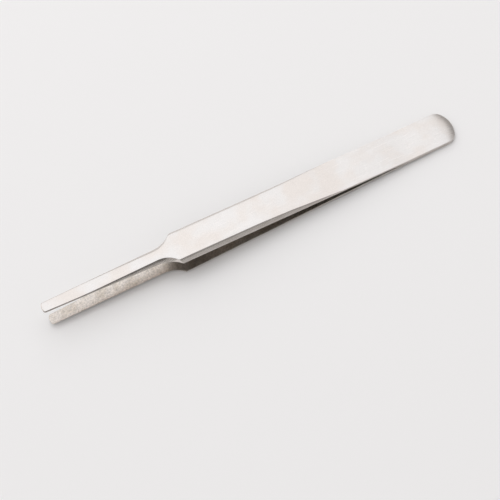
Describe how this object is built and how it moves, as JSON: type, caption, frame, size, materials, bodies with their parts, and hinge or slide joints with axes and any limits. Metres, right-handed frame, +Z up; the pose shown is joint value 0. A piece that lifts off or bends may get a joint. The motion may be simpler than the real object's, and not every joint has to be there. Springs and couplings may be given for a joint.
{
  "type": "tweezers",
  "caption": "Slim satin steel tweezers with ground spring leaves joined at the heel, stepped necks and narrow flat tips with rounded ends.",
  "frame": {"origin": "centre of the bounding box at its bottom, on the surface that the tweezers lie on", "axes": "+X along the leaves from the tips to the heel, +Y across their width, +Z up from the lower leaf to the upper one"},
  "size_m": [0.12, 0.01, 0.0088],
  "materials": {
    "satin_steel": "satin"
  },
  "bodies": {
    "heel": {"upper_heel": "satin_steel", "lower_heel": "satin_steel"},
    "upper_arm": {"upper_arm": "satin_steel"},
    "lower_arm": {"lower_arm": "satin_steel"}
  },
  "joints": [
    {"name": "upper_flex", "type": "hinge", "parent": "heel", "child": "upper_arm", "pos_m": [0.03004, 0, 0.00209], "axis": [0, -1, 0], "range_deg": [0, 2.27], "stiffness_Nm_per_rad": 0.8},
    {"name": "lower_flex", "type": "hinge", "parent": "heel", "child": "lower_arm", "pos_m": [0.03, 0, 0.00106], "axis": [0, 1, 0], "range_deg": [0, 2.27], "stiffness_Nm_per_rad": 0.8}
  ]
}
